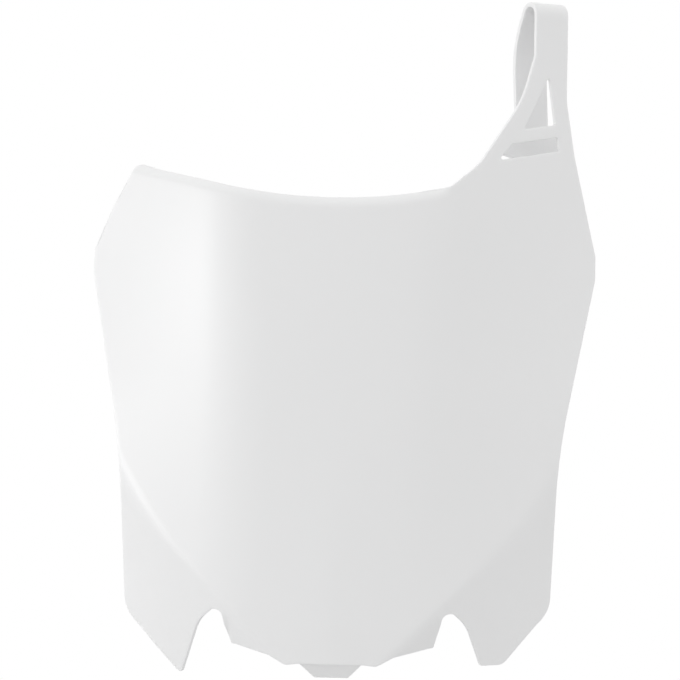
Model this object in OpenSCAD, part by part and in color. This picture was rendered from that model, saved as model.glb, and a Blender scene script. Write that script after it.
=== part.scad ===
// Front number board of a motocross bike, moulded in one piece of white plastic.
// Millimetres, +Z up, the front faces -Y, X = 0 is the board's middle plane.
// Heights are drawn from a base line, and the finished part is set down on the tongue's end.
// The skin is one curved sheet: a height y = front(x, z) over its outline, given a wall behind it.

/* [Outline] */
// Half of the width over the two widest points
half_w = 129.4; // [122:0.1:138]
// Height of the widest points above the base line
wide_z = 205.5; // [195:0.1:215]
// Height of the upper corner on the side without the strap
corner_z = 256.3; // [248:0.1:264]
// Distance of that corner from the middle plane
corner_x = 105.9; // [100:0.1:114]
// Height of the top edge at its lowest point
scoop_z = 238.1; // [230:0.1:244]
// Radius of the scooped top edge in its middle
scoop_r = 260; // [230:1:320]
// Slope of the scooped top edge further out, where it runs straight
scoop_slope = 0.235; // [0.2:0.005:0.27]
// Half of the width at the lower outer corners
foot_half_w = 109.3; // [104:0.1:112]
// Height of the lower outer corners
foot_z = 29; // [24:0.1:34]
// Height of the bottom edge on either side of the tongue
bottom_z = 5.4; // [4:0.1:8]

/* [Shape of the skin] */
// Wall of the skin
wall = 2.2; // [1.8:0.1:2.8]
// Radius of the crowned middle panel, seen from above
crown_r = 420; // [300:10:900]
// Slope of the side panels at the foot, back for each millimetre outwards
side_slope_foot = 0.25; // [0.15:0.01:0.4]
// Slope of the side panels and of the strap's web at the top
side_slope_top = 0.67; // [0.5:0.01:0.8]
// Half of the width over which a side panel bends out of the middle panel
bend_soft = 17; // [8:1:24]
// Slope that the lower flaps turn back below their crease
flap_slope = 0.38; // [0.2:0.01:0.6]
// Slope of each half of the middle panel beside the low keel
keel_slope = 0.05; // [0:0.01:0.1]
// Height of the rolled lip along the top edge
lip_h = 5.4; // [3:0.1:8]
// Distance that the lip's edge stands back from the face
lip_back = 3.4; // [1:0.1:5]

/* [Lower notches] */
// Distance of a notch's round top from the middle plane
notch_x = 59.2; // [57:0.1:61]
// Height of a notch's round top
notch_z = 31.3; // [28:0.1:34]
// Radius of a notch's round top
notch_r = 4.2; // [3:0.1:5]
// Lean of a notch's outer side
notch_out_deg = 25.5; // [22:0.5:30]
// Lean of a notch's inner side
notch_in_deg = 16; // [10:0.5:18]

/* [Strap] */
// Distance of the strap's outer edge inside the widest point
strap_in = 16; // [12:0.1:20]
// Width of the strap
strap_w = 19.4; // [16:0.1:21]
// Thickness of the strap
strap_t = 2.4; // [2:0.1:3]
// Height of the strap's crest above the base line
strap_top_z = 339.9; // [332:0.1:350]
// Radius of the loop's round crest, inside
loop_r = 4.5; // [3.5:0.1:6]
// Length of the straight stretch behind the crest
loop_run = 6.5; // [4:0.5:14]
// Slant of that stretch from upright
loop_slant_deg = 26.5; // [20:0.5:32]
// Radius of the long bend down into the tail, at mid wall
tail_bend_r = 48; // [36:1:60]
// Lean of the tail towards the web
tail_lean_deg = 4.5; // [2:0.5:6]
// Drop from the crest to the tail's lower end
tail_end_drop = 90; // [84:0.5:94]
// Width over the tail's two ears
ears_w = 43; // [34:0.5:46]
// Height of the ears along the tail
ears_h = 14; // [8:0.5:15]
// Drop from the crest to the ears' lower edge
ears_drop = 79.4; // [77:0.1:82]

/* [Web under the strap] */
// Width of the web's outer arm
arm_w = 10; // [8:0.1:11]
// Drop from the strap's crest to the upper opening's peak
peak_drop = 37.4; // [34:0.1:42]
// Height of the web's cross bar, between its two openings
bar_h = 5.6; // [4.5:0.1:7]
// Height of the slot for the tail
slot_h = 7; // [5:0.1:8]
// Length of the slot's top edge
slot_w = 27.6; // [22:0.1:29]
// Drop from the strap's crest to the slot's upper outer corner
slot_drop = 68.3; // [67:0.1:71]
// Slope of the slot and of the cross bar
slot_lean = 0.17; // [0.1:0.01:0.22]
// Radius of the openings' corners
opening_r = 0.9; // [0.5:0.1:1.2]

/* [Tongue] */
// Height of the tongue's end, just below the base line
tongue_end_z = -1.5; // [-4:0.1:0]
// Half of the tongue's width at its root
tongue_root_half_w = 16.6; // [13:0.1:19]
// Half of the tongue's width at its end
tongue_end_half_w = 8.4; // [6:0.1:10]
// Thickness of the tongue
tongue_t = 2.6; // [2:0.1:3.5]
// Lean of the tongue, back from upright
tongue_lean_deg = 38; // [25:1:45]
// Height of the pad that joins the tongue to the back of the skin
tongue_pad_h = 16; // [10:1:24]

/* [Hidden] */
$fn = 96;

// The side panels keep one slope above this height, so that the web and the strap lie in one plane
flat_z = 235;
flat_soft = 30;
// The bend bows inwards at mid height
bend_mid_x = 49;
bend_mid_z = 115;
bend_bow = 8;
// Place of the crease above a lower flap, and its direction from the level
crease_x = 59.6;
crease_z = 40.5;
crease_deg = 43.7;
crease_curl_x = 80;
crease_curl = 0.0075;
// The crease is sharp beside its notch and softer further out
crease_soft = 1.2;
crease_fade = 0.12;
// A narrow bevel lies between the middle panel and the fold beside each notch
bevel_w = 3.6;
bevel_end_x = 56;
bevel_fade = 4;
bevel_slope = 0.6;
bevel_soft = 1.6;
keel_top_z = 150;
keel_foot_z = 40;
keel_r = 3;
// The lip ends where the strap's web begins
lip_end_x = 57;
lip_fade = 8;

// Place and direction of the plane that holds the web and the strap
plane_deg = atan(side_slope_top);
plane_x = bend_x(flat_z);
plane_y = crown(plane_x);

// Place of the strap's inner edge along that plane
strap_x = (half_w - strap_in - plane_x) / cos(plane_deg) - strap_w;
// The web and the strap's tail hang from the crest
web_top_drop = 28;
web_top_z = strap_top_z - web_top_drop;
tail_end_z = strap_top_z - tail_end_drop;
ears_z = strap_top_z - ears_drop;
peak_z = strap_top_z - peak_drop;
slot_z = strap_top_z - slot_drop;
strap_root_z = web_top_z - 4;
// The strap is a little proud of the web all round, where it grows out of it
strap_proud = (strap_t - wall) / 2;
ears_t = strap_t + 0.6;
// Stretches of the strap lap each other a little inside the wall
lap = 0.4;
lap_inset = 0.3;
// Height at which the tongue leaves the skin
root_z = bottom_z + 1.6;

// Larger of two heights with a soft joint, k is the height difference at which it begins
function smax(a, b, k) = max(a, b) + pow(max(k - abs(a - b), 0), 2) / (4 * k);
function smin(a, b, k) = -smax(-a, -b, k);
// Ramp that starts softly at zero
function soft_ramp(d, soft) = smax(d, 0, soft);
function step_between(v, low, high) =
    let (s = min(max((v - low) / (high - low), 0), 1)) s * s * (3 - 2 * s);

function crown(x) = x * x / (2 * crown_r);
function held_z(z) = smin(z, flat_z, flat_soft);
function bend_x(z) = bend_mid_x + bend_bow * pow((z - bend_mid_z) / bend_mid_z, 2);
function side_slope(z) = side_slope_foot + (side_slope_top - side_slope_foot) * z / flat_z;
function side(x, z) = crown(bend_x(z)) + side_slope(z) * (abs(x) - bend_x(z));
function bend_k(z) = bend_soft * (side_slope(z) - bend_x(z) / crown_r);
function keel(x, z) =
    keel_slope * (1 - step_between(z, keel_foot_z, keel_top_z)) * (sqrt(x * x + keel_r * keel_r) - keel_r);
// Distance below the crease of the nearer flap
function below_crease(x, z) =
    sin(crease_deg) * (abs(x) - crease_x) - cos(crease_deg) * (z - crease_z)
    + crease_curl * pow(max(abs(x) - crease_curl_x, 0), 2);
function flap(x, z) =
    flap_slope * soft_ramp(below_crease(x, z), crease_soft + crease_fade * max(abs(x) - crease_x, 0))
    + bevel_slope * soft_ramp(below_crease(x, z) - bevel_w, bevel_soft)
        * (1 - step_between(abs(x), bevel_end_x - bevel_fade, bevel_end_x));
function lip(x, z) =
    lip_back * pow(max(1 - (scoop(x) - z) / lip_h, 0), 2)
        * (1 - step_between(x, lip_end_x - lip_fade, lip_end_x));
function panel(x, z) = smax(crown(x), side(x, z), bend_k(z));
function front(x, z) =
    panel(x, held_z(z)) + keel(x, z) + flap(x, z) + lip(x, min(z, scoop(x)));

// Inner face of the wall, square to the front face
grade = 0.05;
function slope_x(x, z) = (front(x + grade, z) - front(x - grade, z)) / (2 * grade);
function slope_z(x, z) = (front(x, z + grade) - front(x, z - grade)) / (2 * grade);
function back_point(x, z) =
    let (n = [-slope_x(x, z), 1, -slope_z(x, z)]) [x, front(x, z), z] + n * wall / norm(n);

// Outline, as corners [x, z, radius] that become short arcs
scoop_turn_x = scoop_slope * scoop_r;
function scoop(x) =
    scoop_z + pow(min(abs(x), scoop_turn_x), 2) / (2 * scoop_r) + scoop_slope * max(abs(x) - scoop_turn_x, 0);
function turn(p) = p / norm(p);
function arc_at(a, b, c, r) =
    let (
        u = turn([a[0] - b[0], a[1] - b[1]]),
        v = turn([c[0] - b[0], c[1] - b[1]]),
        half = acos(u * v) / 2,
        reach = r / tan(half),
        centre = [b[0], b[1]] + turn(u + v) * r / sin(half),
        start = [b[0], b[1]] + u * reach - centre,
        end = [b[0], b[1]] + v * reach - centre,
        steps = max(1, round((180 - 2 * half) / 16))
    )
    [for (i = [0:steps]) centre + r * turn(start * (steps - i) + end * i)];
function rounded(corners) = [
    for (i = [0:len(corners) - 1])
        each (i == 0 || i == len(corners) - 1 || corners[i][2] == 0
            ? [[corners[i][0], corners[i][1]]]
            : arc_at(corners[i - 1], corners[i], corners[i + 1], corners[i][2]))
];

// Length of the short upright edge at the widest points
wide_edge = 12;
wide_r = 4;
corner_r = 4.5;
foot_r = 18;
// The left lower corner lies this far further out and up, the right one as far further in and down
foot_skew = [0.6, -1.5];
// The lip's rounding into the upper corner, and the step of the scooped edge's points
shoulder_in = 9.9;
shoulder_x = corner_x - shoulder_in;
shoulder_r = 20;
scoop_step = 13;
strap_left_x = plane_x + strap_x * cos(plane_deg);
strap_right_x = plane_x + (strap_x + strap_w) * cos(plane_deg);
// Corner that lies a share of the way from a to b, moved out sideways, with its radius
function bowed(a, b, share, out, r) = [a[0] + (b[0] - a[0]) * share + out, a[1] + (b[1] - a[1]) * share, r];
widest_top = [half_w, wide_z + wide_edge / 2];
widest_foot = [half_w, wide_z - wide_edge / 2];
// The upper side edge bows out a little, and the lower side edges bow in
side_top_out = 1.5;
side_top_r = 60;
side_bow_in = 7.1;
side_bow_r = 300;
side_top = bowed(widest_top, [corner_x, corner_z], 0.49, side_top_out, side_top_r);
side_bow = bowed([foot_half_w, foot_z], widest_foot, 0.485, -side_bow_in, side_bow_r);
// Inner edge of the web, from the scooped edge up to the strap
web_foot_x = 56.5;
web_foot_r = 8;
web_foot = [web_foot_x, scoop(web_foot_x)];
web_knee_out = 6.7;
web_knee_r = 24;
web_waist_out = 7.6;
web_waist_r = 60;
web_knee = bowed(web_foot, [strap_left_x, web_top_z], 0.177, web_knee_out, web_knee_r);
web_waist = bowed(web_foot, [strap_left_x, web_top_z], 0.66, web_waist_out, web_waist_r);
// Outer edge of the web, from the strap down to the widest point
arm_waist_drop = 22;
arm_waist_r = 30;
arm_elbow_in = 1.2;
arm_elbow_r = 60;
arm_waist = [strap_right_x + strap_proud, web_top_z - arm_waist_drop, arm_waist_r];
arm_elbow = bowed(widest_top, arm_waist, 0.643, -arm_elbow_in, arm_elbow_r);
// Lower corner of the left flap, and the two of the right flap, with their rounding
left_toe = [78.6, -3.8, 2];
right_toe_x = [70, 85.2];
right_toe_z = 4.1;
toe_r = [1, 6];
// Bottom edge beside a notch, and the shallow step on either side of the tongue
notch_side = [50.6, 13.8, 1];
step_top = [31.5, 9.8, 8];
step_low_x = 22.8;
step_drop = 0.2;
step_rise = 0.6;
step_r = 4;
top_edge = rounded(concat(
    [
        [-half_w, wide_z, 0],
        [-widest_top[0], widest_top[1], wide_r],
        mirrored(side_top),
        [-corner_x, corner_z, corner_r],
        [-shoulder_x, scoop(shoulder_x), shoulder_r]
    ],
    [for (x = [-6 * scoop_step:scoop_step:3 * scoop_step]) [x, scoop(x), 0]],
    [
        [web_foot_x, scoop(web_foot_x), web_foot_r],
        web_knee,
        web_waist,
        [strap_left_x, web_top_z, 0],
        [strap_right_x, web_top_z, 0],
        arm_waist,
        arm_elbow,
        [widest_top[0], widest_top[1], wide_r],
        [half_w, wide_z, 0]
    ]
));
function mirrored(p) = [-p[0], p[1], p[2]];
low_edge = rounded([
    [-half_w, wide_z, 0],
    [-widest_foot[0], widest_foot[1], wide_r],
    mirrored(side_bow),
    [-foot_half_w - foot_skew[0], foot_z + foot_skew[1], foot_r],
    mirrored(left_toe),
    mirrored(notch_side),
    mirrored(step_top),
    [-step_low_x, bottom_z - step_drop, step_r],
    [-tongue_root_half_w, bottom_z + step_rise, 0],
    [tongue_root_half_w, bottom_z + step_rise, 0],
    [step_low_x, bottom_z - step_drop, step_r],
    step_top,
    notch_side,
    [right_toe_x[0], right_toe_z, toe_r[0]],
    [right_toe_x[1], right_toe_z, toe_r[1]],
    [foot_half_w - foot_skew[0], foot_z - foot_skew[1], foot_r],
    side_bow,
    [widest_foot[0], widest_foot[1], wide_r],
    [half_w, wide_z, 0]
]);

// Places of the columns: every outline point, then more where two lie far apart
column_gap = 4.2;
least_gap = 0.4;
function sorted(v) = len(v) < 2 ? v : let (
    p = v[floor(len(v) / 2)]
) concat(
    sorted([for (a = v) if (a < p) a]),
    [p],
    sorted([for (a = v) if (a > p) a])
);
all_x = sorted(concat([for (p = top_edge) p[0]], [for (p = low_edge) p[0]]));
last_x = len(all_x) - 1;
function spread(i, kept) =
    i > last_x ? kept
    : all_x[i] - kept[len(kept) - 1] >= least_gap && (i == last_x || all_x[last_x] - all_x[i] >= least_gap)
        ? spread(i + 1, concat(kept, [all_x[i]]))
        : spread(i + 1, kept);
main_x = spread(1, [all_x[0]]);
columns = [
    for (i = [0:len(main_x) - 2])
        let (gap = main_x[i + 1] - main_x[i], parts = ceil(gap / column_gap))
            for (k = [0:parts - 1]) main_x[i] + gap * k / parts,
    main_x[len(main_x) - 1]
];

// Rows of a column, close together in the lip at the top
lip_rows = [0, 1.2, 2.6, 4.2, 6];
body_rows = 17;
row_count = len(lip_rows) + body_rows;
function row_z(x, j) =
    let (
        high = lookup(x, top_edge),
        low = lookup(x, low_edge),
        squeeze = min(1, (high - low) / 40),
        lip_low = high - lip_rows[len(lip_rows) - 1] * squeeze
    )
    j < len(lip_rows)
        ? high - lip_rows[j] * squeeze
        : lip_low - (lip_low - low) * (j - len(lip_rows) + 1) / body_rows;

module skin() {
    nc = len(columns);
    nr = row_count;
    grid = [for (x = columns) for (j = [0:nr - 1]) [x, row_z(x, j)]];
    fronts = [for (g = grid) [g[0], front(g[0], g[1]), g[1]]];
    backs = [for (g = grid) back_point(g[0], g[1])];
    inner = len(grid);
    cells = [for (i = [0:nc - 2]) for (j = [0:nr - 2]) i * nr + j];
    tops = [for (i = [0:nc - 2]) i * nr];
    lefts = [for (j = [0:nr - 2]) j];
    // Two triangles over four corners in turn
    function two(a, b, c, d) = [[a, b, c], [a, c, d]];
    faces = concat(
        [for (a = cells) each two(a, a + nr, a + nr + 1, a + 1)],
        [for (a = cells) each two(inner + a, inner + a + 1, inner + a + nr + 1, inner + a + nr)],
        [for (a = tops) each two(a, inner + a, inner + a + nr, a + nr)],
        [for (t = tops) let (a = t + nr - 1) each two(a, a + nr, inner + a + nr, inner + a)],
        [for (a = lefts) each two(a, a + 1, inner + a + 1, inner + a)],
        [for (t = lefts) let (a = t + (nc - 1) * nr) each two(a, inner + a, inner + a + 1, a + 1)]
    );
    polyhedron(points = concat(fronts, backs), faces = faces, convexity = 8);
}

// Puts a flat drawing (along the web, up) square through the web's plane
module in_web_plane() {
    translate([plane_x, plane_y, 0]) rotate([0, 0, plane_deg]) rotate([90, 0, 0]) children();
}

// The outer half of a notch is cut square to its flap, the inner half straight back
notch_turn_deg = 24;
notch_deep = 60;
notch_drop = 45;
// Its outer side leaves the round top at this angle and bends at the knee, both seen from the top's centre
notch_tip_deg = 52;
notch_knee = [9.4, -2.3, 10];
notch_lap = 1.5;
// Both notches lie this far to the left
notch_skew = 0.3;

// Cutters of the two halves of both notches, open downwards
module outer_notches() {
    both_notches() rotate([0, 0, notch_turn_deg]) straight_cut() {
        circle(notch_r);
        polygon(rounded([
            [0, 0],
            [notch_r * cos(notch_tip_deg), notch_r * sin(notch_tip_deg), 0],
            notch_knee,
            [notch_knee[0] + notch_drop * tan(notch_out_deg), notch_knee[1] - notch_drop, 0],
            [0, notch_knee[1] - notch_drop]
        ]));
    }
}
module inner_notches() {
    both_notches() straight_cut() {
        circle(notch_r);
        polygon([
            [notch_lap, 0],
            [0, notch_r],
            notch_r * [-cos(notch_in_deg), sin(notch_in_deg)],
            [-notch_r * cos(notch_in_deg) - notch_drop * tan(notch_in_deg), -notch_drop],
            [notch_lap, -notch_drop]
        ]);
    }
}
module both_notches() {
    centre_z = notch_z - notch_r;
    for (hand = [0, 1])
        translate([-notch_skew, 0, 0]) mirror([hand, 0, 0])
            translate([notch_x, front(notch_x, centre_z), centre_z]) children();
}
module straight_cut() {
    rotate([90, 0, 0]) linear_extrude(notch_deep, center = true) children();
}

// The openings' outer corners stand this far in from the outer arm's inner edge
slot_in = -4.6;
bar_in = 1.4;
peak_in = 0.9;
peak_r = 0.7;
bar_step = 0.6;
slot_flare = 1.2;
slot_reach = 7.8;
opening_foot_w = 19.4;
opening_deep = 30;

// The two openings of the web, as flat drawings along its plane
module openings() {
    arm_u = strap_x + strap_w - arm_w;
    slot_u = arm_u - slot_in;
    bar_u = slot_u - bar_in;
    bar_z = slot_z + bar_h + bar_step;
    left_u = slot_u - slot_w;
    low_z = slot_z - slot_h;
    linear_extrude(opening_deep, center = true) {
        polygon(rounded_loop([
            [slot_u, slot_z, opening_r],
            [slot_u + slot_flare, low_z, opening_r],
            [left_u - slot_reach, low_z - slot_lean * (slot_w + slot_reach + slot_flare), opening_r],
            [left_u, slot_z - slot_lean * slot_w, opening_r]
        ]));
        polygon(rounded_loop([
            [arm_u - peak_in, peak_z, peak_r],
            [bar_u, bar_z, opening_r],
            [bar_u - opening_foot_w, bar_z - slot_lean * opening_foot_w, opening_r]
        ]));
    }
}
function rounded_loop(corners) =
    let (n = len(corners)) [
        for (i = [0:n - 1])
            each arc_at(corners[(i + n - 1) % n], corners[i], corners[(i + 1) % n], corners[i][2])
    ];

// Side view of the strap, drawn as [back from the web's face, up]
mid_r = loop_r + strap_t / 2;
out_r = loop_r + strap_t;
crest = [out_r, strap_top_z - out_r];
slant = loop_slant_deg;
slant_start = crest + mid_r * [cos(slant), sin(slant)];
slant_end = slant_start + loop_run * [sin(slant), -cos(slant)];
bend_centre = slant_end - tail_bend_r * [cos(slant), sin(slant)];
tail_start = bend_centre + tail_bend_r * [cos(tail_lean_deg), -sin(tail_lean_deg)];
function tail_back(z) = tail_start[0] - (tail_start[1] - z) * tan(tail_lean_deg);

tail_l = (tail_start[1] - tail_end_z) / cos(tail_lean_deg);
bend_steps = 10;
// One face of the stretch from the crest to the tail's end, off is its distance from mid wall
function tail_face(off) =
    let (out = off * [cos(slant), sin(slant)], drop = [-sin(tail_lean_deg), -cos(tail_lean_deg)])
    concat(
        [slant_start + out],
        [
            for (i = [0:bend_steps])
                let (a = slant - (slant + tail_lean_deg) * i / bend_steps)
                    bend_centre + (tail_bend_r + off) * [cos(a), sin(a)]
        ],
        [tail_start + off * [cos(tail_lean_deg), -sin(tail_lean_deg)] + tail_l * drop]
    );
function reversed(v) = [for (i = [len(v) - 1:-1:0]) v[i]];

module strap_profile() {
    translate([0, strap_root_z]) square([strap_t, crest[1] - strap_root_z]);
    translate([lap_inset, crest[1] - lap]) square([strap_t - 2 * lap_inset, 2 * lap]);
    ring_sector(crest, loop_r, out_r, slant, 180);
    translate(slant_start) rotate(slant)
        translate([-strap_t / 2 + lap_inset, -lap]) square([strap_t - 2 * lap_inset, 2 * lap]);
    polygon(concat(tail_face(strap_t / 2), reversed(tail_face(-strap_t / 2))));
}
module ring_sector(centre, r_in, r_out, from_deg, to_deg) {
    far = r_out * 3;
    mid_deg = (from_deg + to_deg) / 2;
    translate(centre) intersection() {
        difference() {
            circle(r_out);
            circle(r_in);
        }
        polygon([
            [0, 0],
            far * [cos(from_deg), sin(from_deg)],
            far * [cos(mid_deg), sin(mid_deg)],
            far * [cos(to_deg), sin(to_deg)]
        ]);
    }
}

// Strap with its tail, and the two ears that catch behind the slot
module strap() {
    translate([plane_x, plane_y, 0]) rotate([0, 0, plane_deg]) {
        translate([strap_x - strap_proud, -strap_proud, 0])
            rotate([90, 0, 90]) linear_extrude(strap_w + 2 * strap_proud) strap_profile();
        translate([strap_x + strap_w / 2, tail_back(ears_z), ears_z]) rotate([-tail_lean_deg, 0, 0])
            translate([-ears_w / 2, -ears_t / 2, 0]) cube([ears_w, ears_t, ears_h]);
    }
}

// Tongue below the middle panel, leaning back from a pad on the skin's inner face
tongue_root_y = wall / 2;
tongue_end_y = tongue_root_y + (root_z - tongue_end_z) * tan(tongue_lean_deg);
tongue_across = tongue_t / cos(tongue_lean_deg);
tongue_end_r = 1.5;
pad_r = 2;
pad_inset = 1;

module tongue() {
    pad_top = root_z + tongue_pad_h;
    intersection() {
        rotate([90, 0, 90]) linear_extrude(2 * tongue_root_half_w, center = true)
            polygon([
                [tongue_root_y, pad_top],
                [tongue_root_y, root_z],
                [tongue_end_y, tongue_end_z],
                [tongue_end_y + tongue_across, tongue_end_z],
                [tongue_root_y + tongue_across, root_z],
                [tongue_root_y + tongue_across, pad_top - tongue_across]
            ]);
        rotate([90, 0, 0]) linear_extrude(notch_deep, center = true)
            polygon(rounded_loop([
                [-tongue_root_half_w, root_z, pad_r],
                [-tongue_root_half_w + pad_inset, pad_top, pad_r],
                [tongue_root_half_w - pad_inset, pad_top, pad_r],
                [tongue_root_half_w, root_z, pad_r],
                [tongue_end_half_w, tongue_end_z, tongue_end_r],
                [-tongue_end_half_w, tongue_end_z, tongue_end_r]
            ]));
    }
}

// The origin is the middle of the tongue's end
module number_board() {
    color("white") translate([0, -tongue_end_y - tongue_across / 2, -tongue_end_z]) union() {
        difference() {
            difference() {
                skin();
                inner_notches();
            }
            outer_notches();
            in_web_plane() openings();
        }
        strap();
        tongue();
    }
}

number_board();
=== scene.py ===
"""Looks of a motocross front number board: the white moulding, its light and its camera.

The board is one moulded sheet. It is built here as a flat outline in (across, along), which a surface
function bends into the crowned panel, the turned-back sides, the flaps, the lip and the looped strap.
Lengths in the shape functions are millimetres, and become metres when a mesh is made.
"""
import math

import bpy
import numpy as np
from mathutils import Matrix, Vector
from mathutils.geometry import delaunay_2d_cdt
from mathutils.kdtree import KDTree


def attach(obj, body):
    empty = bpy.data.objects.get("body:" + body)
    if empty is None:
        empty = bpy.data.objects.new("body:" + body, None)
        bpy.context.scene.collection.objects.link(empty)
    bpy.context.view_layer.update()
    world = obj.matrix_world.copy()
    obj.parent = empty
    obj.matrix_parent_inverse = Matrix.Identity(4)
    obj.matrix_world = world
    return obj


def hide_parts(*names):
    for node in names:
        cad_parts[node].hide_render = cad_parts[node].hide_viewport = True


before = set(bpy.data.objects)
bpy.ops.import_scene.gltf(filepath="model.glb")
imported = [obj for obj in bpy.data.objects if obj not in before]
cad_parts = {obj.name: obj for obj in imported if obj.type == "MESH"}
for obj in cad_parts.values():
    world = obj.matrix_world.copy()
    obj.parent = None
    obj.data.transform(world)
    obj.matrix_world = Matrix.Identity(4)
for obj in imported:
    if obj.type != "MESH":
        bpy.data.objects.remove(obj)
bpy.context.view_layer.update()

# Outline
HALF_W = 129.4
WIDE_Z = 205.5
WIDE_EDGE, WIDE_R = 12.0, 4.0
CORNER_X, CORNER_Z, CORNER_R = 105.9, 256.3, 4.5
SHOULDER_IN, SHOULDER_R = 9.9, 20.0
SIDE_TOP_SHARE, SIDE_TOP_OUT, SIDE_TOP_R = 0.49, 1.5, 60.0
SIDE_BOW_SHARE, SIDE_BOW_IN, SIDE_BOW_R = 0.485, 7.1, 300.0
SCOOP_Z, SCOOP_R, SCOOP_SLOPE = 238.1, 260.0, 0.235
FOOT_HALF_W, FOOT_Z, FOOT_R, FOOT_SKEW_X, FOOT_SKEW_Z = 109.3, 29.0, 18.0, 0.6, -1.5
BOTTOM_Z = 5.4

# Corners of the lower edge, each (across, along, radius)
LEFT_TOE = [-78.6, -3.8, 2]
RIGHT_TOES = [[70, 4.1, 1], [85.2, 4.1, 6]]
NOTCH_SIDE = [50.6, 13.8, 1]
STEP_TOP = [31.5, 9.8, 8]
STEP_LOW_X, STEP_DROP, STEP_RISE, STEP_R = 22.8, 0.2, 0.6, 4.0

# Shape of the skin
WALL = 2.2
CROWN_R = 420.0
SLOPE_FOOT, SLOPE_TOP = 0.25, 0.67
BEND_SOFT = 17.0
FLAP_SLOPE = 0.38
KEEL_SLOPE, KEEL_R, KEEL_FOOT_Z, KEEL_TOP_Z = 0.05, 3.0, 40.0, 150.0
LIP_H, LIP_BACK, LIP_END_X, LIP_FADE = 5.4, 3.4, 57.0, 8.0
FLAT_Z, FLAT_SOFT = 235.0, 30.0
BEND_MID_X, BEND_MID_Z, BEND_BOW = 49.0, 115.0, 8.0
CREASE_X, CREASE_Z, CREASE_ANGLE = 59.6, 40.5, math.radians(43.7)
CREASE_CURL_X, CREASE_CURL = 80.0, 0.0075
CREASE_SOFT, CREASE_FADE = 1.2, 0.12
BEVEL_W, BEVEL_END_X, BEVEL_FADE, BEVEL_SLOPE, BEVEL_SOFT = 3.6, 56.0, 4.0, 0.6, 1.6

# Lower notches
NOTCH_X, NOTCH_Z, NOTCH_R = 59.2, 31.3, 4.2
NOTCH_OUT, NOTCH_IN, NOTCH_TURN = math.radians(25.5), math.radians(16), math.radians(24)
NOTCH_KNEE_X, NOTCH_KNEE_Z, NOTCH_KNEE_R, NOTCH_TIP = 9.8, -2.3, 22.0, math.radians(52)
NOTCH_SKEW, NOTCH_LEFT_WIDER = 0.3, 0.8
NOTCH_DROP = 34.0
NOTCH_FOOT_R, NOTCH_FOOT_REACH = 1.1, 2.2

# Strap, in the plane of the turned-back side panel
STRAP_IN, STRAP_W, STRAP_T = 16.0, 19.4, 2.4
STRAP_TOP_Z, LOOP_R, LOOP_RUN, SLANT = 339.75, 4.5, 6.5, math.radians(26.5)
TAIL_BEND_R, TAIL_LEAN, TAIL_END_Z = 48.0, math.radians(4.5), 249.9
EARS_W, EARS_H, EARS_Z, EARS_EXTRA, EARS_EDGE = 43.0, 14.0, 260.5, 0.6, 1.0
EARS_R, EARS_ROOT_R, TAIL_R = 2.5, 0.8, 3.5
# The inner ear is this much narrower at its upper end and ends this much higher, with its own corner
INNER_EAR_NARROWER, INNER_EAR_HIGHER, INNER_EAR_R = 4.5, 3.0, 2.0

# Web under the strap
WEB_TOP_Z = 311.9
WEB_FOOT_X, WEB_FOOT_R = 56.5, 8.0
WEB_KNEE_SHARE, WEB_KNEE_OUT, WEB_KNEE_R = 0.177, 6.7, 24.0
WEB_WAIST_SHARE, WEB_WAIST_OUT, WEB_WAIST_R = 0.66, 7.6, 60.0
ARM_WAIST_DROP, ARM_WAIST_R = 22.0, 30.0
ARM_ELBOW_SHARE, ARM_ELBOW_IN, ARM_ELBOW_R = 0.643, 1.2, 60.0
# The wall grows to the strap's from this far below the web's top to this far above it
GROWN_FROM, GROWN_TO = 8.0, 4.0

# Openings of the web
ARM_W, PEAK_Z, PEAK_IN, PEAK_R = 10.0, 302.5, 0.9, 0.7
BAR_H, BAR_IN, BAR_STEP = 5.6, 1.4, 0.6
SLOT_H, SLOT_W, SLOT_Z, SLOT_LEAN, OPENING_R = 7.0, 27.6, 271.6, 0.17, 0.9
SLOT_OUT, SLOT_FLARE, SLOT_REACH = 4.6, 1.2, 7.8
OPENING_FOOT_W = 19.4

# Tongue
TONGUE_ROOT_HALF_W, TONGUE_END_HALF_W, TONGUE_T = 16.6, 8.4, 2.6
TONGUE_LEAN, TONGUE_SOFT = math.radians(38), 1.2
TONGUE_END_Z, TONGUE_END_R = -1.5, 1.5
ROOT_Z = BOTTOM_Z + 1.6
ROOT_EXTRA, ROOT_FADE = 0.5, 2.0
PAD_TOP_Z = ROOT_Z + 16.0
PAD_THINNER, PAD_FADE, PAD_IN, PAD_R = 1.6, 4.0, 1.0, 2.0
TONGUE_END_Y = WALL / 2 + (ROOT_Z - TONGUE_END_Z) * math.tan(TONGUE_LEAN)
SHIFT_Y = -TONGUE_END_Y - TONGUE_T / math.cos(TONGUE_LEAN) / 2
SHIFT_Z = -TONGUE_END_Z

# Mesh fineness and the small rounding of every edge
GRID = 1.55
EDGE_STEP, NOTCH_STEP, OPENING_STEP = 1.3, 0.9, 0.9
NOTCH_CORNER_STEP, NOTCH_BEND_STEP, OPENING_CORNER_STEP = 0.4, 0.8, 0.5
ARC_TURN = 0.22
APART = 0.62
COINCIDE = 0.12
EDGE_R = 0.42
EDGE_TURNS = [math.radians(30), math.radians(60), math.radians(90)]
MM = 0.001


# Softened shape functions, the same as the solid's
def soft_max(a, b, k):
    return np.maximum(a, b) + np.maximum(k - np.abs(a - b), 0) ** 2 / (4 * k)


def soft_min(a, b, k):
    return -soft_max(-a, -b, k)


def ease(v, low, high):
    s = np.clip((v - low) / (high - low), 0, 1)
    return s * s * (3 - 2 * s)


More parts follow.
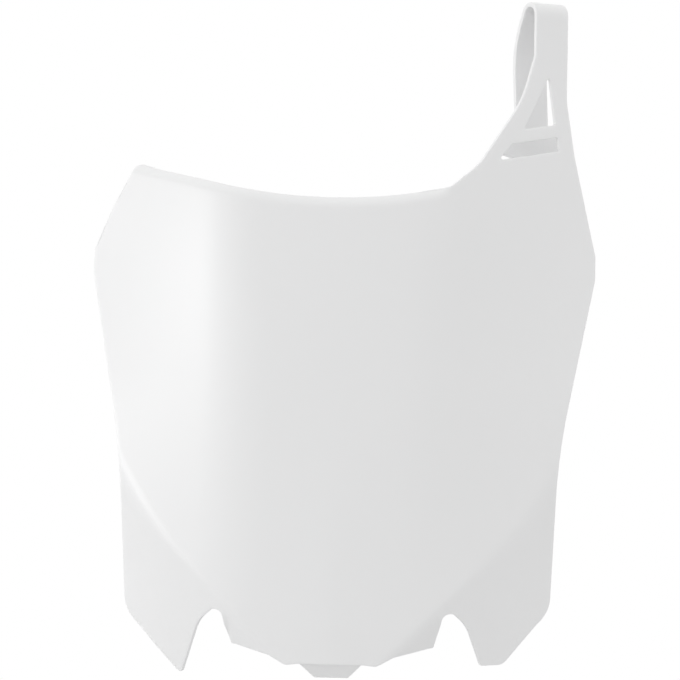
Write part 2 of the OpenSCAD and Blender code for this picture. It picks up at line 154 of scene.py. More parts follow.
def scoop(x):
    ax = np.abs(x)
    turn_x = SCOOP_SLOPE * SCOOP_R
    return SCOOP_Z + np.minimum(ax, turn_x) ** 2 / (2 * SCOOP_R) + SCOOP_SLOPE * np.maximum(ax - turn_x, 0)


def crown(x):
    return x * x / (2 * CROWN_R)


def bend_x(z):
    return BEND_MID_X + BEND_BOW * ((z - BEND_MID_Z) / BEND_MID_Z) ** 2


def below_crease(x, z):
    curl = CREASE_CURL * np.maximum(x - CREASE_CURL_X, 0) ** 2
    return math.sin(CREASE_ANGLE) * (x - CREASE_X) - math.cos(CREASE_ANGLE) * (z - CREASE_Z) + curl


def front(x, z):
    """Height of the front face, back from the middle panel's crown."""
    ax = np.abs(x)
    zh = soft_min(z, FLAT_Z, FLAT_SOFT)
    slope = SLOPE_FOOT + (SLOPE_TOP - SLOPE_FOOT) * zh / FLAT_Z
    bx = bend_x(zh)
    side = crown(bx) + slope * (ax - bx)
    panel = soft_max(crown(ax), side, BEND_SOFT * (slope - bx / CROWN_R))
    keel = KEEL_SLOPE * (1 - ease(z, KEEL_FOOT_Z, KEEL_TOP_Z)) * (np.sqrt(ax * ax + KEEL_R ** 2) - KEEL_R)
    fold = below_crease(ax, z)
    flap = FLAP_SLOPE * soft_max(fold, 0, CREASE_SOFT + CREASE_FADE * np.maximum(ax - CREASE_X, 0))
    bevel = BEVEL_SLOPE * soft_max(fold - BEVEL_W, 0, BEVEL_SOFT)
    bevel = bevel * (1 - ease(ax, BEVEL_END_X - BEVEL_FADE, BEVEL_END_X))
    rise = np.maximum(1 - (scoop(x) - np.minimum(z, scoop(x))) / LIP_H, 0)
    lip = LIP_BACK * rise ** 2 * (1 - ease(x, LIP_END_X - LIP_FADE, LIP_END_X))
    return panel + keel + flap + bevel + lip


# Plane of the web and the strap
PLANE_X = float(bend_x(FLAT_Z))
PLANE_Y = float(crown(PLANE_X))
PLANE_COS, PLANE_SIN = math.cos(math.atan(SLOPE_TOP)), math.sin(math.atan(SLOPE_TOP))
STRAP_U = (HALF_W - STRAP_IN - PLANE_X) / PLANE_COS - STRAP_W


def across(u):
    """Place across the front view of a point u along the web's plane."""
    return PLANE_X + u * PLANE_COS


# Path of the strap's outer face, as (back from the web, up), by its length along the strap
OUT_R = LOOP_R + STRAP_T
MID_R = LOOP_R + STRAP_T / 2
CREST = np.array([OUT_R, STRAP_TOP_Z - OUT_R])
SLANT_OUT = np.array([math.cos(SLANT), math.sin(SLANT)])
SLANT_RUN = np.array([math.sin(SLANT), -math.cos(SLANT)])
RUN_START = CREST + MID_R * SLANT_OUT
RUN_END = RUN_START + LOOP_RUN * SLANT_RUN
BEND_CENTRE = RUN_END - TAIL_BEND_R * SLANT_OUT
TAIL_OUT = np.array([math.cos(TAIL_LEAN), -math.sin(TAIL_LEAN)])
TAIL_RUN = np.array([-math.sin(TAIL_LEAN), -math.cos(TAIL_LEAN)])
TAIL_START = BEND_CENTRE + TAIL_BEND_R * TAIL_OUT
TAIL_L = float(TAIL_START[1] - TAIL_END_Z) / math.cos(TAIL_LEAN)
ARC_1 = OUT_R * (math.pi - SLANT)
ARC_2 = (TAIL_BEND_R + STRAP_T / 2) * (SLANT + TAIL_LEAN)
S_CREST = float(CREST[1])
S_RUN = S_CREST + ARC_1
S_BEND = S_RUN + LOOP_RUN
S_TAIL = S_BEND + ARC_2
S_END = S_TAIL + TAIL_L
S_EARS_END = S_TAIL + float(TAIL_START[1] - EARS_Z) / math.cos(TAIL_LEAN)
S_EARS_START = S_EARS_END - EARS_H


def strap_path(s):
    """Point and inward direction of the strap's outer face at length s, each as (back, up)."""
    s = np.asarray(s, float)[:, None]
    turn_1 = math.pi - (s - S_CREST) / OUT_R
    out_1 = np.hstack([np.cos(turn_1), np.sin(turn_1)])
    turn_2 = SLANT - (s - S_BEND) / (TAIL_BEND_R + STRAP_T / 2)
    out_2 = np.hstack([np.cos(turn_2), np.sin(turn_2)])
    half = STRAP_T / 2
    pieces = [
        (s < S_CREST, np.hstack([0 * s, s]), np.array([[-1.0, 0.0]])),
        (s < S_RUN, CREST + OUT_R * out_1, out_1),
        (s < S_BEND, RUN_START + half * SLANT_OUT + (s - S_RUN) * SLANT_RUN, SLANT_OUT[None]),
        (s < S_TAIL, BEND_CENTRE + (TAIL_BEND_R + half) * out_2, out_2),
        (s < np.inf, TAIL_START + half * TAIL_OUT + (s - S_TAIL) * TAIL_RUN, TAIL_OUT[None]),
    ]
    point = np.zeros((len(s), 2))
    out = np.zeros((len(s), 2))
    todo = np.ones((len(s), 1), bool)
    for mask, p, o in pieces:
        use = todo & mask
        point = np.where(use, p, point)
        out = np.where(use, o, out)
        todo &= ~mask
    return point, -out


def board_surface(flat):
    """Front face points, directions into the wall and wall thickness of the board, from (across, along)."""
    x, s = flat[:, 0], flat[:, 1]
    grade = 0.05
    fx = (front(x + grade, s) - front(x - grade, s)) / (2 * grade)
    fz = (front(x, s + grade) - front(x, s - grade)) / (2 * grade)
    inward = np.stack([-fx, np.ones_like(fx), -fz], 1)
    inward /= np.linalg.norm(inward, axis=1)[:, None]
    point = np.stack([x, front(x, s), s], 1)
    path, turn_in = strap_path(s)
    u = (x - PLANE_X) / PLANE_COS
    strap_point = np.stack([
        PLANE_X + u * PLANE_COS - path[:, 0] * PLANE_SIN,
        PLANE_Y + u * PLANE_SIN + path[:, 0] * PLANE_COS,
        path[:, 1]
    ], 1)
    strap_in = np.stack([-turn_in[:, 0] * PLANE_SIN, turn_in[:, 0] * PLANE_COS, turn_in[:, 1]], 1)
    on_strap = (s > WEB_TOP_Z - GROWN_FROM)[:, None]
    point = np.where(on_strap, strap_point, point)
    inward = np.where(on_strap, strap_in, inward)
    grown = (STRAP_T - WALL) * ease(s, WEB_TOP_Z - GROWN_FROM, WEB_TOP_Z + GROWN_TO)
    ears_start = ease(s, S_EARS_START - EARS_EDGE, S_EARS_START + EARS_EDGE)
    ears_end = ease(s, S_EARS_END - EARS_EDGE, S_EARS_END + EARS_EDGE)
    ears = EARS_EXTRA * ears_start * (1 - ears_end)
    ahead = grown / 2 * (s < S_RUN) + ears / 2
    point = point - inward * ahead[:, None]
    return point + [0, SHIFT_Y, SHIFT_Z], inward, WALL + grown + ears


def tongue_surface(flat):
    """The same for the tongue and the pad that carries it."""
    x, z = flat[:, 0], flat[:, 1]
    depth = ROOT_Z - z
    lean = math.tan(TONGUE_LEAN)
    y = WALL / 2 + lean * soft_max(depth, 0, TONGUE_SOFT)
    slope = lean * np.clip((depth + TONGUE_SOFT) / (2 * TONGUE_SOFT), 0, 1)
    inward = np.stack([0 * x, np.ones_like(x), slope], 1)
    inward /= np.linalg.norm(inward, axis=1)[:, None]
    root = ROOT_EXTRA * ease(z, ROOT_Z - ROOT_FADE, ROOT_Z + ROOT_FADE)
    wall = TONGUE_T + root - PAD_THINNER * ease(z, PAD_TOP_Z - PAD_FADE, PAD_TOP_Z)
    return np.stack([x, y + SHIFT_Y, z + SHIFT_Z], 1), inward, wall


# Outlines
def unit(v):
    return v / np.linalg.norm(v)


def arc_at(a, b, c, r, step):
    """Short arc of radius r that rounds the corner b between a and c."""
    a, b, c = (np.asarray(p[:2], float) for p in (a, b, c))
    u, v = unit(a - b), unit(c - b)
    half = math.acos(float(np.clip(u @ v, -1, 1))) / 2
    reach = r / math.tan(half)
    centre = b + unit(u + v) * r / math.sin(half)
    start, end = b + u * reach - centre, b + v * reach - centre
    turn = math.pi - 2 * half
    count = max(3, int(math.ceil(turn * r / step)), int(math.ceil(turn / ARC_TURN)))
    points = []
    for i in range(count + 1):
        from_start, from_end = math.sin(turn * i / count), math.sin(turn * (1 - i / count))
        points.append(centre + (from_end * start + from_start * end) / math.sin(turn))
    return points


def rounded(corners, closed=False, step=EDGE_STEP):
    """Outline through the corners, each (across, along, radius) and sharp where it has no radius."""
    points = []
    count = len(corners)
    for i, corner in enumerate(corners):
        at_end = not closed and i in (0, count - 1)
        if at_end or len(corner) < 3 or corner[2] == 0:
            points.append(np.array(corner[:2], float))
        else:
            points.extend(arc_at(corners[i - 1], corner, corners[(i + 1) % count], corner[2], step))
    return np.array(points)


def spaced(points, step=EDGE_STEP, closed=False):
    """Adds points so that no stretch is longer than step, and drops points that nearly coincide."""
    ends = np.roll(points, -1, axis=0) if closed else points[1:]
    out = []
    for a, b in zip(points, ends):
        count = max(1, int(math.ceil(np.linalg.norm(b - a) / step)))
        out.extend(a + (b - a) * k / count for k in range(count))
    if not closed:
        out.append(points[-1])
    kept = [out[0]]
    for p in out[1:]:
        if np.linalg.norm(p - kept[-1]) > COINCIDE:
            kept.append(p)
    if closed and np.linalg.norm(kept[-1] - kept[0]) < COINCIDE:
        kept.pop()
    return np.array(kept)


def crossing(line, other):
    """First place where two polylines cross: the index along each, and the point."""
    for i in range(len(line) - 1):
        p, r = line[i], line[i + 1] - line[i]
        for j in range(len(other) - 1):
            q, s = other[j], other[j + 1] - other[j]
            d = r[0] * s[1] - r[1] * s[0]
            if abs(d) < 1e-9:
                continue
            t = ((q - p)[0] * s[1] - (q - p)[1] * s[0]) / d
            w = ((q - p)[0] * r[1] - (q - p)[1] * r[0]) / d
            if 0 <= t <= 1 and 0 <= w <= 1:
                return i, j, p + r * t
    raise ValueError("the two edges don't cross")


def notch_edge(hand):
    """Edge of one notch on the front face, from its left foot over the round top to its right foot."""
    angles = np.linspace(math.pi - NOTCH_IN, NOTCH_TIP, 11)
    arc = [NOTCH_R * np.array([math.cos(a), math.sin(a)]) for a in angles]
    inner_foot = arc[0] + NOTCH_DROP * np.array([-math.tan(NOTCH_IN), -1])
    knee = np.array([NOTCH_KNEE_X + (NOTCH_LEFT_WIDER if hand < 0 else 0), NOTCH_KNEE_Z])
    outer_foot = knee + NOTCH_DROP * np.array([math.tan(NOTCH_OUT), -1])
    bend = arc_at(arc[-1], knee, outer_foot, NOTCH_KNEE_R, NOTCH_BEND_STEP)
    flat = spaced(np.array([inner_foot, *arc, *bend, outer_foot]), NOTCH_STEP)
    centre_z = NOTCH_Z - NOTCH_R
    base = front(np.array(NOTCH_X), np.array(centre_z))
    turn = NOTCH_TURN * ease(flat[:, 0], -1, 2)
    x = NOTCH_X + flat[:, 0]
    z = centre_z + flat[:, 1]
    # The notch is cut backwards and turned, so each point settles where its cut meets the face
    for _ in range(40):
        back = front(x, z) - base
        x = 0.5 * x + 0.5 * (NOTCH_X + (flat[:, 0] - back * np.sin(turn)) / np.cos(turn))
    edge = np.stack([hand * x - NOTCH_SKEW, z], 1)
    return edge[::hand]


def beyond(line, index, step, corner):
    """Walks along the line from index until its point is clear of the rounding of the corner."""
    while np.linalg.norm(line[index] - corner) < NOTCH_FOOT_REACH:
        index += step
    return index


def with_notch(edge, hand):
    """Cuts a notch into the lower edge, which runs from left to right, with small rounded corners."""
    cut = notch_edge(hand)
    i, j, first = crossing(edge, cut)
    back_edge, back_cut = edge[::-1], cut[::-1]
    m, n, last = crossing(back_edge, back_cut)
    m, n = len(edge) - 1 - m, len(cut) - 1 - n
    a, b = beyond(edge, i, -1, first), beyond(cut, j + 1, 1, first)
    c, d = beyond(cut, n - 1, -1, last), beyond(edge, m, 1, last)
    start = rounded([edge[a], [*first, NOTCH_FOOT_R], cut[b]], step=NOTCH_CORNER_STEP)[1:-1]
    end = rounded([cut[c], [*last, NOTCH_FOOT_R], edge[d]], step=NOTCH_CORNER_STEP)[1:-1]
    return np.vstack([edge[:a + 1], start, cut[b:c + 1], end, edge[d:]])


def bowed(a, b, share, out, r):
    """Corner that lies a share of the way from a to b, moved out sideways, with its radius."""
    return [a[0] + (b[0] - a[0]) * share + out, a[1] + (b[1] - a[1]) * share, r]


def mirrored(corner):
    return [-corner[0], *corner[1:]]


# Corners of the board's outline, each (across, along, radius)
STRAP_LEFT, STRAP_RIGHT = across(STRAP_U), across(STRAP_U + STRAP_W)
STRAP_FOOT_LEFT, STRAP_FOOT_RIGHT = [STRAP_LEFT, WEB_TOP_Z], [STRAP_RIGHT, WEB_TOP_Z]
SCOOP_POINTS = [[x, scoop(x)] for x in range(40, -82, -3)]
SHOULDER_X = CORNER_X - SHOULDER_IN
LEFT_FOOT = [-FOOT_HALF_W - FOOT_SKEW_X, FOOT_Z + FOOT_SKEW_Z, FOOT_R]
RIGHT_FOOT = [FOOT_HALF_W - FOOT_SKEW_X, FOOT_Z - FOOT_SKEW_Z, FOOT_R]
WIDEST_TOP = [HALF_W, WIDE_Z + WIDE_EDGE / 2, WIDE_R]
WIDEST_FOOT = [HALF_W, WIDE_Z - WIDE_EDGE / 2, WIDE_R]
SIDE_TOP = bowed(WIDEST_TOP, [CORNER_X, CORNER_Z], SIDE_TOP_SHARE, SIDE_TOP_OUT, SIDE_TOP_R)
SIDE_BOW = bowed([FOOT_HALF_W, FOOT_Z], WIDEST_FOOT, SIDE_BOW_SHARE, -SIDE_BOW_IN, SIDE_BOW_R)
WEB_FOOT = [WEB_FOOT_X, scoop(WEB_FOOT_X), WEB_FOOT_R]
ARM_WAIST = [STRAP_RIGHT, WEB_TOP_Z - ARM_WAIST_DROP, ARM_WAIST_R]
RIGHT_EDGE = [
    SIDE_BOW,
    WIDEST_FOOT,
    WIDEST_TOP,
    bowed(WIDEST_TOP, ARM_WAIST, ARM_ELBOW_SHARE, -ARM_ELBOW_IN, ARM_ELBOW_R),
    ARM_WAIST,
    STRAP_FOOT_RIGHT
]
EARS_SIDE = (EARS_W - STRAP_W) / 2 * PLANE_COS
STRAP_EDGE = [
    [STRAP_RIGHT, S_EARS_START, EARS_ROOT_R],
    [STRAP_RIGHT + EARS_SIDE, S_EARS_START, EARS_R],
    [STRAP_RIGHT + EARS_SIDE, S_EARS_END, EARS_R],
    [STRAP_RIGHT, S_EARS_END, EARS_ROOT_R],
    [STRAP_RIGHT, S_END, TAIL_R],
    [STRAP_LEFT, S_END, TAIL_R],
    [STRAP_LEFT, S_EARS_END, EARS_ROOT_R],
    [STRAP_LEFT - EARS_SIDE, S_EARS_END - INNER_EAR_HIGHER, INNER_EAR_R],
    [STRAP_LEFT - EARS_SIDE + INNER_EAR_NARROWER, S_EARS_START, EARS_R],
    [STRAP_LEFT, S_EARS_START, EARS_ROOT_R]
]
WEB_EDGE = [
    STRAP_FOOT_LEFT,
    bowed(WEB_FOOT, STRAP_FOOT_LEFT, WEB_WAIST_SHARE, WEB_WAIST_OUT, WEB_WAIST_R),
    bowed(WEB_FOOT, STRAP_FOOT_LEFT, WEB_KNEE_SHARE, WEB_KNEE_OUT, WEB_KNEE_R),
    WEB_FOOT,
    *SCOOP_POINTS,
    [-SHOULDER_X, scoop(SHOULDER_X), SHOULDER_R],
    [-CORNER_X, CORNER_Z, CORNER_R],
    mirrored(SIDE_TOP),
    mirrored(WIDEST_TOP),
    mirrored(WIDEST_FOOT),
    mirrored(SIDE_BOW),
    LEFT_FOOT
]
STEP_LOW = [STEP_LOW_X, BOTTOM_Z - STEP_DROP, STEP_R]
TONGUE_SIDE = [TONGUE_ROOT_HALF_W, BOTTOM_Z + STEP_RISE]
# The lower edge stops this far before the round foot corners
FOOT_TRIM = 7.0
LOW_EDGE = [
    [LEFT_FOOT[0] + FOOT_TRIM, LEFT_FOOT[1] - FOOT_TRIM],
    LEFT_TOE,
    mirrored(NOTCH_SIDE),
    mirrored(STEP_TOP),
    mirrored(STEP_LOW),
    mirrored(TONGUE_SIDE),
    TONGUE_SIDE,
    STEP_LOW,
    STEP_TOP,
    NOTCH_SIDE,
    *RIGHT_TOES,
    [RIGHT_FOOT[0] - FOOT_TRIM, RIGHT_FOOT[1] - FOOT_TRIM]
]
TONGUE_CORNERS = [
    [-TONGUE_END_HALF_W, TONGUE_END_Z, TONGUE_END_R],
    [TONGUE_END_HALF_W, TONGUE_END_Z, TONGUE_END_R],
    [TONGUE_ROOT_HALF_W, ROOT_Z, PAD_R],
    [TONGUE_ROOT_HALF_W - PAD_IN, PAD_TOP_Z, PAD_R],
    [-TONGUE_ROOT_HALF_W + PAD_IN, PAD_TOP_Z, PAD_R],
    [-TONGUE_ROOT_HALF_W, ROOT_Z, PAD_R]
]


def board_outline():
    """Closed outline of the board in (across, along), with the material on its left."""
    low = spaced(rounded(LOW_EDGE))
    low = with_notch(with_notch(low, -1), 1)
    corners = [[*low[-2]], RIGHT_FOOT, *RIGHT_EDGE, *STRAP_EDGE, *WEB_EDGE, [*low[1]]]
    rest = rounded(corners)
    return spaced(np.vstack([low[1:-1], rest[1:-1]]), closed=True)


def opening_outlines():
    """The slot and the upper opening of the web, with the material on their left."""
    arm_u = STRAP_U + STRAP_W - ARM_W
    slot_u = arm_u + SLOT_OUT
    bar_u = slot_u - BAR_IN
    bar_z = SLOT_Z + BAR_H + BAR_STEP
    left_u = slot_u - SLOT_W
    low_z = SLOT_Z - SLOT_H
    slot = [
        [slot_u, SLOT_Z, OPENING_R],
        [slot_u + SLOT_FLARE, low_z, OPENING_R],
        [left_u - SLOT_REACH, low_z - SLOT_LEAN * (SLOT_W + SLOT_REACH + SLOT_FLARE), OPENING_R],
        [left_u, SLOT_Z - SLOT_LEAN * SLOT_W, OPENING_R]
    ]
    upper = [
        [arm_u - PEAK_IN, PEAK_Z, PEAK_R],
        [bar_u, bar_z, OPENING_R],
        [bar_u - OPENING_FOOT_W, bar_z - SLOT_LEAN * OPENING_FOOT_W, OPENING_R]
    ]
    loops = []
    for corners in (slot, upper):
        flat = [[across(c[0]), *c[1:]] for c in corners]
        loop = rounded(flat, closed=True, step=OPENING_CORNER_STEP)
        loops.append(spaced(loop, OPENING_STEP, closed=True))
    return loops


# Mesh of a moulded sheet
def inside(points, loops):
    """Whether each point lies in the material that the closed loops bound."""
    odd = np.zeros(len(points), bool)
    for loop in loops:
        a, b = loop, np.roll(loop, -1, axis=0)
        for (x0, z0), (x1, z1) in zip(a, b):
            spans = (z0 > points[:, 1]) != (z1 > points[:, 1])
            if z1 != z0:
                cut = x0 + (points[:, 1] - z0) * (x1 - x0) / (z1 - z0)
                odd ^= spans & (points[:, 0] < cut)
    return odd


def apart(points, taken, gap):
    """The points that lie further than gap from every taken point."""
    tree = KDTree(len(taken))
    for i, p in enumerate(taken):
        tree.insert((p[0], p[1], 0), i)
    tree.balance()
    return np.array([p for p in points if tree.find((p[0], p[1], 0))[2] > gap])


def lattice(low, high, step):
    """Points of a triangular grid over the box from low to high."""
    rows = np.arange(low[1], high[1], step * math.sqrt(3) / 2)
    out = []
    for k, z in enumerate(rows):
        x = np.arange(low[0] + (k % 2) * step / 2, high[0], step)
        out.append(np.stack([x, np.full_like(x, z)], 1))
    return np.vstack(out)


# Rows of mesh points beside the creases and below the lip's edge, and their stretches
ROW_STEP = 1.4
CREASE_ROWS, CREASE_FROM, CREASE_TO = (-1.7, -0.85, 0.0, 0.85, 1.7, BEVEL_W), -22, 75
LIP_ROWS, LIP_FROM, LIP_TO = (1.0, 2.1, 3.3, 4.5, 5.7), -112, 58


def crease_points():
    """Points along the folds of the flaps and along the lip, so that the mesh follows them."""
    out = []
    reach = np.arange(CREASE_FROM, CREASE_TO, ROW_STEP)
    for offset in CREASE_ROWS:
        x = CREASE_X + reach * math.cos(CREASE_ANGLE) + offset * math.sin(CREASE_ANGLE)
        z = CREASE_Z + reach * math.sin(CREASE_ANGLE) - offset * math.cos(CREASE_ANGLE)
        z = z + CREASE_CURL * np.maximum(x - CREASE_CURL_X, 0) ** 2 / math.cos(CREASE_ANGLE)
        out += [np.stack([x, z], 1), np.stack([-x, z], 1)]
    x = np.arange(LIP_FROM, LIP_TO, ROW_STEP)
    for drop in LIP_ROWS:
        out.append(np.stack([x, scoop(x) - drop], 1))
    return np.vstack(out)


def loop_links(loops):
    """Pairs of neighbouring points round each loop, where the loops' points lie one after the other."""
    links = []
    for loop in loops:
        base, n = len(links), len(loop)
        links += [(base + i, base + (i + 1) % n) for i in range(n)]
    return links


def filled(loops, features):
    """Points and triangles over the material inside the loops. The loops' own points come first."""
    border = np.vstack(loops)
    inner = np.empty((0, 2))
    if features is not None:
        inner = apart(features[inside(features, loops)], border, GRID * APART)
    field = lattice(border.min(0), border.max(0), GRID)
    field = field[inside(field, loops)]
    field = apart(field, np.vstack([border, inner]), GRID * APART)
    flat = np.vstack([border, inner, field])
    edges = loop_links(loops)
    cut = delaunay_2d_cdt([Vector(p) for p in flat], edges, [], 0, 1e-5)
    origin = [ids[0] if ids else -1 for ids in cut[3]]
    tris = np.array([[origin[v] for v in f] for f in cut[2] if all(origin[v] >= 0 for v in f)])
    tris = tris[inside(flat[tris].mean(1), loops)]
    a, b, c = flat[tris[:, 0]], flat[tris[:, 1]], flat[tris[:, 2]]
    area = (b - a)[:, 0] * (c - a)[:, 1] - (b - a)[:, 1] * (c - a)[:, 0]
    tris = np.where((area > 0)[:, None], tris, tris[:, ::-1])
    return flat, tris


def edge_outward(loops, point, inward):
    """Directions out of the material at the points of the loops, square to the edge and to the wall."""
    links = np.array(loop_links(loops))
    after = links[:, 1]
    before = np.empty_like(after)
    before[after] = links[:, 0]
    out = np.cross(point[after] - point[before], -inward[:len(links)])
    return out / np.linalg.norm(out, axis=1)[:, None]


def edge_rings(edge, outward, inward, wall):
    """Rings of points that round the edge from the front face over to the back face."""
    rings = []
    for turn in EDGE_TURNS:
        aside, depth = EDGE_R * (1 - math.sin(turn)), EDGE_R * (1 - math.cos(turn))
        rings.append(edge - outward * aside + inward * depth)
    for turn in reversed(EDGE_TURNS):
        aside, depth = EDGE_R * (1 - math.sin(turn)), EDGE_R * (1 - math.cos(turn))
        rings.append(edge - outward * aside + inward * (wall - depth))
    return rings


def moulded_sheet(name, loops, surface, features=None):
    """Mesh of a sheet with a true wall and rounded edges, over the material inside the loops."""
    flat, tris = filled(loops, features)
    point, inward, wall = surface(flat)
    links = loop_links(loops)
    total, round_total = len(flat), len(links)
    outward = edge_outward(loops, point, inward)
    front_verts = point.copy()
    front_verts[:round_total] -= outward * EDGE_R
    back_verts = point + inward * wall[:, None]
    back_verts[:round_total] -= outward * EDGE_R
    rings = edge_rings(point[:round_total], outward, inward[:round_total], wall[:round_total, None])
    verts = np.vstack([front_verts, back_verts, *rings])
    faces = [tuple(int(v) for v in t) for t in tris]
    faces += [tuple(int(v) + total for v in t[::-1]) for t in tris]
    starts = [0] + [2 * total + k * round_total for k in range(len(rings))] + [total]
    for i, j in links:
        for upper, lower in zip(starts[:-1], starts[1:]):
            faces.append((upper + i, lower + i, lower + j, upper + j))
    mesh = bpy.data.meshes.new(name)
    mesh.from_pydata((verts * MM).tolist(), [], faces)
    mesh.validate()
    for polygon in mesh.polygons:
        polygon.use_smooth = True
    piece = bpy.data.objects.new(name, mesh)
    bpy.context.scene.collection.objects.link(piece)
    return piece


# Material of the moulding
def noise(nodes, links, place, scale, detail):
    texture = nodes.new("ShaderNodeTexNoise")
    texture.inputs["Scale"].default_value = scale
    texture.inputs["Detail"].default_value = detail
    links.new(place.outputs["Object"], texture.inputs["Vector"])
    return texture.outputs["Fac"]


def bump(nodes, links, height, strength, distance):
    node = nodes.new("ShaderNodeBump")
    node.inputs["Strength"].default_value = strength
    node.inputs["Distance"].default_value = distance
    links.new(height, node.inputs["Height"])
    return node


def white_plastic():
    """Bright white polypropylene: soft gloss, faint tone drift and the fine grain of a mould."""
    material = bpy.data.materials.new("white_plastic")
    material.use_nodes = True
    nodes, links = material.node_tree.nodes, material.node_tree.links
    shader = nodes["Principled BSDF"]
    shader.inputs["IOR"].default_value = 1.49
    shader.inputs["Specular IOR Level"].default_value = 0.5
    shader.inputs["Subsurface Weight"].default_value = 0.25
    shader.inputs["Subsurface Radius"].default_value = (1, 1, 1)
    shader.inputs["Subsurface Scale"].default_value = 0.0012
    place = nodes.new("ShaderNodeTexCoord")

    drift = noise(nodes, links, place, 9.0, 3.0)
    tone = nodes.new("ShaderNodeValToRGB")
    tone.color_ramp.elements[0].position = 0.3
    tone.color_ramp.elements[0].color = (0.862, 0.863, 0.865, 1)
    tone.color_ramp.elements[1].position = 0.7
    tone.color_ramp.elements[1].color = (0.87, 0.871, 0.872, 1)
    links.new(drift, tone.inputs["Fac"])
    links.new(tone.outputs["Color"], shader.inputs["Base Color"])

    # Roughness is a base value plus a share of a slow noise
    rough = nodes.new("ShaderNodeMath")
    rough.operation = "MULTIPLY_ADD"
    rough.inputs[1].default_value = 0.06
    rough.inputs[2].default_value = 0.27
    links.new(noise(nodes, links, place, 12.0, 4.0), rough.inputs[0])
    links.new(rough.outputs["Value"], shader.inputs["Roughness"])

    # The mould's fine grain, on the slow waves of the cooled face
    fine = bump(nodes, links, noise(nodes, links, place, 900.0, 2.0), 0.05, 0.0001)
    broad = bump(nodes, links, noise(nodes, links, place, 14.0, 1.0), 0.1, 0.0004)
    links.new(fine.outputs["Normal"], broad.inputs["Normal"])
    links.new(broad.outputs["Normal"], shader.inputs["Normal"])
    return material


# Camera
TARGET = Vector((0.0016, 0.0120 + SHIFT_Y * MM, 0.1671 + SHIFT_Z * MM))
CAMERA_RANGE = 1.3
CAMERA_YAW, CAMERA_ROLL = math.radians(3.9), math.radians(0.9)
VIEW_WIDTH = 0.34
SENSOR = 36.0


def add_camera():
    data = bpy.data.cameras.new("camera")
    data.sensor_width = SENSOR
    data.lens = SENSOR * CAMERA_RANGE / VIEW_WIDTH
    data.clip_end = 50
    camera = bpy.data.objects.new("camera", data)
    bpy.context.scene.collection.objects.link(camera)
    back = Vector((math.sin(CAMERA_YAW), -math.cos(CAMERA_YAW), 0))
    right = Vector((math.cos(CAMERA_YAW), math.sin(CAMERA_YAW), 0))
    turn = Matrix((right, (0, 0, 1), back)).transposed().to_4x4()
    roll = Matrix.Rotation(CAMERA_ROLL, 4, "Z")
    camera.matrix_world = Matrix.Translation(TARGET + back * CAMERA_RANGE) @ turn @ roll
    bpy.context.scene.camera = camera


# Light
def add_lamp(name, place, size, power):
    """Area lamp that faces the board, with its place and size in metres and its power in watts."""
    data = bpy.data.lights.new(name, "AREA")
    data.shape = "RECTANGLE"
    data.size, data.size_y = size
    data.energy = power
    lamp = bpy.data.objects.new(name, data)
    bpy.context.scene.collection.objects.link(lamp)
    lamp.location = place
    lamp.rotation_euler = (TARGET - Vector(place)).to_track_quat("-Z", "Y").to_euler()
    return lamp


def seen_white(nodes, links, light, seen):
    """Mixes the light's shader with the one that the camera and reflections see."""
    path = nodes.new("ShaderNodeLightPath")
    glossy = nodes.new("ShaderNodeMath")
    glossy.operation = "MAXIMUM"
    links.new(path.outputs["Is Camera Ray"], glossy.inputs[0])
    links.new(path.outputs["Is Glossy Ray"], glossy.inputs[1])
    clear = nodes.new("ShaderNodeMath")
    clear.operation = "MAXIMUM"
    links.new(glossy.outputs[0], clear.inputs[0])
    links.new(path.outputs["Is Transmission Ray"], clear.inputs[1])
    mix = nodes.new("ShaderNodeMixShader")
    links.new(clear.outputs[0], mix.inputs[0])
    links.new(light.outputs[0], mix.inputs[1])
    links.new(seen.outputs[0], mix.inputs[2])
    return mix


def add_world():
    world = bpy.data.worlds.new("studio")
    bpy.context.scene.world = world
    world.use_nodes = True
    nodes, links = world.node_tree.nodes, world.node_tree.links
    light = nodes["Background"]
    light.inputs["Color"].default_value = (1, 1, 1, 1)
    light.inputs["Strength"].default_value = 0.93
    seen = nodes.new("ShaderNodeBackground")
    seen.inputs["Color"].default_value = (1, 1, 1, 1)
    seen.inputs["Strength"].default_value = 1.0
    mix = seen_white(nodes, links, light, seen)
    links.new(mix.outputs[0], nodes["World Output"].inputs["Surface"])


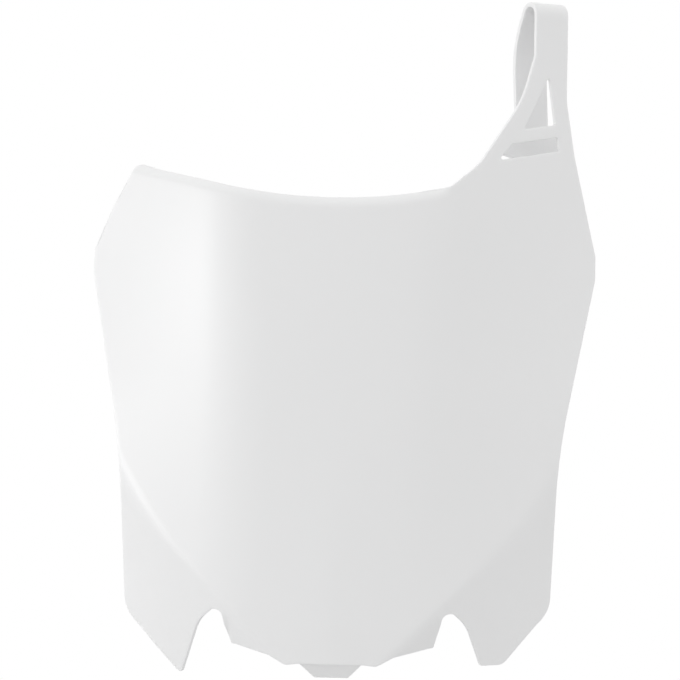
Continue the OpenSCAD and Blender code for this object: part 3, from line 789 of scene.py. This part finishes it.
def add_floor():
    """Wide pale floor well below the board, white to the camera away from the board's shadow."""
    bpy.ops.mesh.primitive_plane_add(size=24, location=(0, 0, -0.25))
    floor = bpy.context.object
    floor.name = "floor"
    material = bpy.data.materials.new("floor_white")
    material.use_nodes = True
    nodes, links = material.node_tree.nodes, material.node_tree.links
    shader = nodes["Principled BSDF"]
    shader.inputs["Base Color"].default_value = (0.7, 0.7, 0.7, 1)
    shader.inputs["Roughness"].default_value = 0.9
    seen = nodes.new("ShaderNodeEmission")
    seen.inputs["Color"].default_value = (1, 1, 1, 1)
    seen.inputs["Strength"].default_value = 1.0
    path = nodes.new("ShaderNodeLightPath")
    place = nodes.new("ShaderNodeTexCoord")
    far = nodes.new("ShaderNodeVectorMath")
    far.operation = "LENGTH"
    links.new(place.outputs["Object"], far.inputs[0])
    fade = nodes.new("ShaderNodeMapRange")
    fade.inputs["From Min"].default_value = 0.25
    fade.inputs["From Max"].default_value = 0.9
    fade.inputs["To Min"].default_value = 0.35
    fade.inputs["To Max"].default_value = 1.0
    links.new(far.outputs["Value"], fade.inputs["Value"])
    seen_far = nodes.new("ShaderNodeMath")
    seen_far.operation = "MULTIPLY"
    links.new(fade.outputs["Result"], seen_far.inputs[0])
    links.new(path.outputs["Is Camera Ray"], seen_far.inputs[1])
    mix = nodes.new("ShaderNodeMixShader")
    links.new(seen_far.outputs[0], mix.inputs[0])
    links.new(shader.outputs[0], mix.inputs[1])
    links.new(seen.outputs[0], mix.inputs[2])
    links.new(mix.outputs[0], nodes["Material Output"].inputs["Surface"])
    floor.data.materials.append(material)


plastic = white_plastic()
board = moulded_sheet("board", [board_outline(), *opening_outlines()], board_surface, crease_points())
tongue_outline = spaced(rounded(TONGUE_CORNERS, closed=True), closed=True)
tongue = moulded_sheet("tongue", [tongue_outline], tongue_surface)
for piece in (board, tongue):
    piece.data.materials.append(plastic)
    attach(piece, "root")
    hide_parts("number_board")

add_camera()
add_world()
add_floor()
add_lamp("lamp_left", (-1.9, 0.08, 0.0), (0.9, 1.4), 6.4)
add_lamp("lamp_fill", (-0.6, -0.35, 0.16), (0.35, 0.35), 0.34)
add_lamp("lamp_top", (-0.2, -0.3, 1.9), (1.4, 1.0), 0.6)
# The soft box lights the gloss only
soft_box = add_lamp("soft_box", (-1.9, -0.72, 0.02), (0.5, 0.5), 4.8)
soft_box.visible_diffuse = False
bpy.context.scene.view_settings.view_transform = "Standard"
